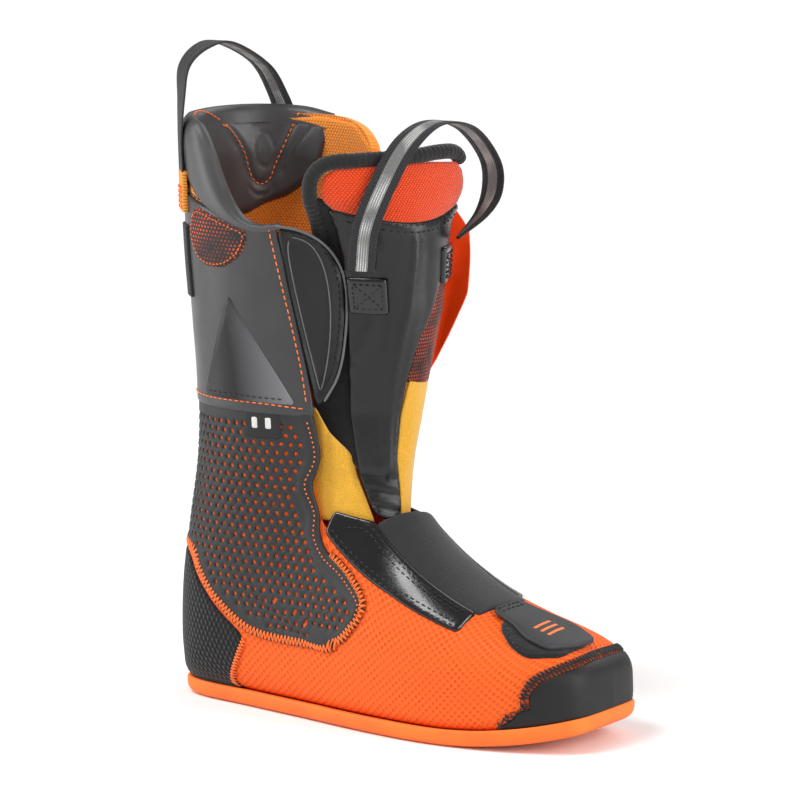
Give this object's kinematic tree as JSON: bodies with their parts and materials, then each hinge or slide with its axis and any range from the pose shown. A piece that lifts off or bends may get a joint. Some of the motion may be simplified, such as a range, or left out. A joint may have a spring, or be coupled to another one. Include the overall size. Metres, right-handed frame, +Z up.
{
  "type": "ski boot liner",
  "caption": "Right-foot ski boot liner with padded cuff, hinged tongue and throat flaps, pull loops, perforated ankle panels and a cup sole.",
  "frame": {"origin": "middle of the sole's flat zone, on the resting face", "axes": "+X to the toe, +Y to the inner side of the foot, +Z up the leg"},
  "size_m": [0.2835, 0.1081, 0.3795],
  "materials": {
    "foam_orange": "matte dimpled foam",
    "toe_rubber": "satin",
    "patch_gloss": "gloss",
    "knit_black": "matte knit",
    "shell_grey": "satin",
    "cuff_charcoal": "satin",
    "collar_charcoal": "satin",
    "window_gloss": "gloss",
    "label_white": "matte",
    "lining_knit": "chunky knit",
    "flap_charcoal": "satin",
    "flap_orange": "satin",
    "tongue_shell_grey": "satin",
    "mesh_orange": "fine mesh",
    "webbing_grey": "woven webbing",
    "tab_orange": "woven",
    "fleece_mustard": "brushed fleece",
    "board_black": "matte",
    "footbed_grey": "felt",
    "tab_charcoal": "satin"
  },
  "bodies": {
    "boot": {"outsole": "foam_orange", "insole_board": "board_black", "footbed": "footbed_grey", "lower_foam": "foam_orange", "toe_cap": "toe_rubber", "heel_counter": "knit_black", "ankle_shell_lateral": "shell_grey", "ankle_shell_medial": "shell_grey", "cuff_lateral": "cuff_charcoal", "cuff_medial": "cuff_charcoal", "window_lateral": "window_gloss", "window_medial": "window_gloss", "knit_window_lateral": "knit_black", "knit_window_medial": "knit_black", "collar_roll_lateral": "collar_charcoal", "collar_roll_medial": "collar_charcoal", "size_label": "label_white", "cuff_foam": "foam_orange", "cuff_lining": "lining_knit", "collar_spine": "collar_charcoal", "collar_pad_lateral": "collar_charcoal", "collar_pad_medial": "collar_charcoal", "instep_patch_lateral": "patch_gloss", "instep_patch_medial": "patch_gloss", "stretch_panel": "knit_black", "loop_patch": "knit_black", "gusset_lateral": "fleece_mustard", "gusset_medial": "fleece_mustard", "rear_tab_lateral": "tab_orange", "rear_tab_medial": "tab_orange"},
    "tongue": {"tongue_shell": "tongue_shell_grey", "tongue_mesh": "mesh_orange", "tongue_foam": "lining_knit", "tongue_binding": "knit_black", "tongue_anchor_lateral": "webbing_grey", "tongue_anchor_medial": "webbing_grey"},
    "tongue_loop": {"tongue_loop": "webbing_grey"},
    "flap_lateral": {"flap_lateral": "flap_charcoal"},
    "flap_medial": {"flap_medial": "flap_orange"},
    "rear_loop": {"rear_loop": "webbing_grey"},
    "toe_tab": {"toe_tab": "tab_charcoal"},
    "strap_tail": {"strap_tail": "webbing_grey"}
  },
  "joints": [
    {"name": "tongue_hinge", "type": "hinge", "parent": "boot", "child": "tongue", "pos_m": [0.039, -0.006, 0.114], "axis": [0.1104, 0.9939, 0], "range_deg": [0, 26], "stiffness_Nm_per_rad": 0.6},
    {"name": "flap_lateral_hinge", "type": "hinge", "parent": "boot", "child": "flap_lateral", "pos_m": [-0.0105, -0.039, 0.2295], "axis": [0.1288, 0.1196, -0.9844], "range_deg": [0, 70]},
    {"name": "flap_medial_hinge", "type": "hinge", "parent": "boot", "child": "flap_medial", "pos_m": [-0.012, 0.04075, 0.235], "axis": [-0.1166, 0.1121, 0.9868], "range_deg": [0, 45]},
    {"name": "tongue_loop_hinge", "type": "hinge", "parent": "tongue", "child": "tongue_loop", "pos_m": [0.039, 0.0025, 0.2655], "axis": [0.4364, 0.8729, 0.2182], "range_deg": [-2, 50], "stiffness_Nm_per_rad": 0.05},
    {"name": "rear_loop_hinge", "type": "hinge", "parent": "boot", "child": "rear_loop", "pos_m": [-0.085, 0.0075, 0.303], "axis": [0.1398, 0.9902, 0], "range_deg": [-30, 0], "stiffness_Nm_per_rad": 0.05},
    {"name": "toe_tab_hinge", "type": "hinge", "parent": "boot", "child": "toe_tab", "pos_m": [0.11075, -0.0065, 0.0753], "axis": [-0.1198, -0.9922, -0.0342], "range_deg": [0, 110]},
    {"name": "strap_tail_hinge", "type": "hinge", "parent": "boot", "child": "strap_tail", "pos_m": [-0.0875, -0.03525, 0.28], "axis": [-0.6925, 0.7214, 0], "range_deg": [0, 70]}
  ],
  "couplings": [
    {"joint": "flap_lateral_hinge", "follows": "tongue_hinge", "ratio": 2.6},
    {"joint": "flap_medial_hinge", "follows": "tongue_hinge", "ratio": 1.6}
  ]
}
